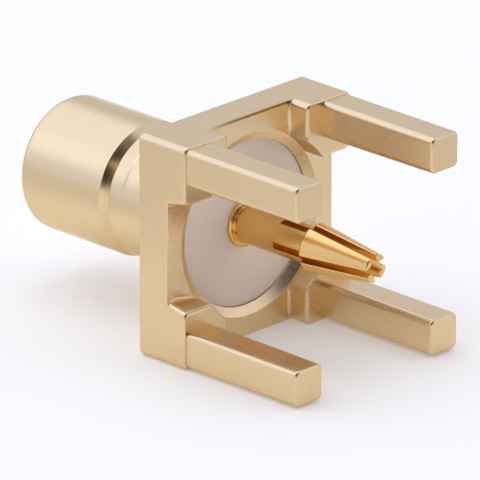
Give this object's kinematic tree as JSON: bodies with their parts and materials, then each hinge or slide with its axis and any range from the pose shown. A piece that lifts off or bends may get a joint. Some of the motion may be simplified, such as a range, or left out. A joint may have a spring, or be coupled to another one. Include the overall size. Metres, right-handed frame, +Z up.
{
  "type": "smb board jack",
  "caption": "Straight gold-plated SMB coaxial jack for a circuit board, with square board legs, a white insulator and a slotted centre solder tail.",
  "frame": {"origin": "on the connector's axis in the plane of the four corner pads, which sits on the circuit board", "axes": "+X along the axis towards the ends of the board legs, the mating end towards -X, +Z up as the connector lies on one side of its square flange"},
  "size_m": [0.0115, 0.0062, 0.0062],
  "materials": {
    "gold_plated_flange": "satin pale gold plate on a cast metal flange",
    "gold_plated_barrel": "satin pale gold plate on turned metal",
    "ptfe": "matte white turned PTFE",
    "gold_plated_contact": "bright deep gold plate on turned brass"
  },
  "bodies": {
    "root": {"flange": "gold_plated_flange", "barrel": "gold_plated_barrel", "insulator": "ptfe", "centre_contact": "gold_plated_contact"}
  },
  "joints": []
}
